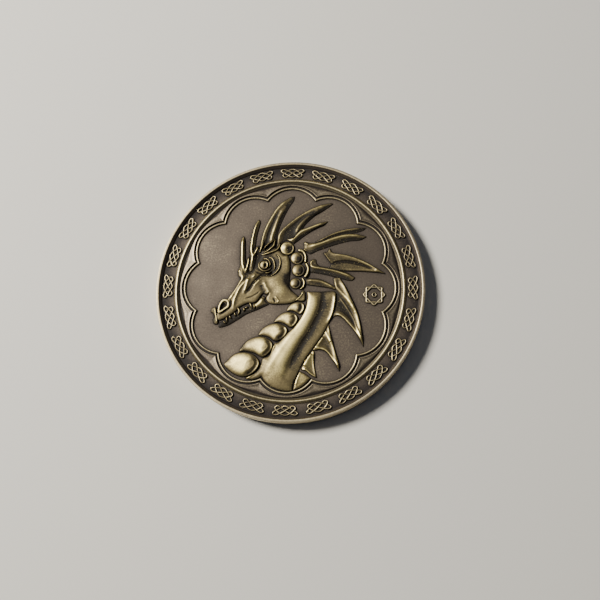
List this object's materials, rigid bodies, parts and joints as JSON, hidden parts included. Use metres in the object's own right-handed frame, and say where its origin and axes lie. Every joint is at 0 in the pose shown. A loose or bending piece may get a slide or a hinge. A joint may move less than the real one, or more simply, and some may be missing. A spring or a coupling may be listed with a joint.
{
  "type": "challenge coin",
  "caption": "Antiqued brass commemorative coin, with a horned dragon's head in relief inside a lobed frame, a border of interlaced knots, and a raised smooth rim on both faces.",
  "frame": {"origin": "centre of the coin at the plane of the reverse rim, which it rests on", "axes": "+Z out of the obverse face, +Y to the top of the design, +X to its right"},
  "size_m": [0.0444, 0.0444, 0.003],
  "materials": {
    "struck_body": "antiqued, dark patina in the recesses and polished rim",
    "border_relief": "antiqued, polished high points",
    "dragon_relief": "antiqued, polished high points",
    "ornament_relief": "antiqued, polished high points"
  },
  "bodies": {
    "root": {"brow_spike_front": "dragon_relief", "brow_spike_rear": "dragon_relief", "cheek_scale_1": "dragon_relief", "cheek_scale_2": "dragon_relief", "cheek_scale_3": "dragon_relief", "cheek_scale_4": "dragon_relief", "coin_body": "struck_body", "collar_lower": "dragon_relief", "collar_middle": "dragon_relief", "collar_upper": "dragon_relief", "crest_horn_1": "dragon_relief", "crest_horn_2": "dragon_relief", "crest_horn_3": "dragon_relief", "crest_horn_4": "dragon_relief", "crest_horn_4_tine": "dragon_relief", "eyeball": "dragon_relief", "eyelid": "dragon_relief", "frill_blade": "dragon_relief", "frill_spike_lower": "dragon_relief", "frill_spike_upper": "dragon_relief", "lower_jaw": "dragon_relief", "mane_fin_1": "dragon_relief", "mane_fin_2": "dragon_relief", "mane_fin_3": "dragon_relief", "mane_fin_4": "dragon_relief", "neck": "dragon_relief", "nose_lip": "dragon_relief", "nostril": "dragon_relief", "obverse_border_knots": "border_relief", "obverse_frame_bead": "border_relief", "obverse_ring": "border_relief", "obverse_spandrel_plate": "border_relief", "orbit_arc": "dragon_relief", "reverse_border_knots": "border_relief", "reverse_boss": "ornament_relief", "reverse_chain": "ornament_relief", "reverse_frame_bead": "border_relief", "reverse_ring": "border_relief", "reverse_spandrel_plate": "border_relief", "skull": "dragon_relief", "star_ornament": "ornament_relief", "teeth": "dragon_relief", "throat_plate_1": "dragon_relief", "throat_plate_2": "dragon_relief", "throat_plate_3": "dragon_relief", "throat_plate_4": "dragon_relief", "throat_plate_5": "dragon_relief", "throat_plate_6": "dragon_relief"}
  },
  "joints": []
}
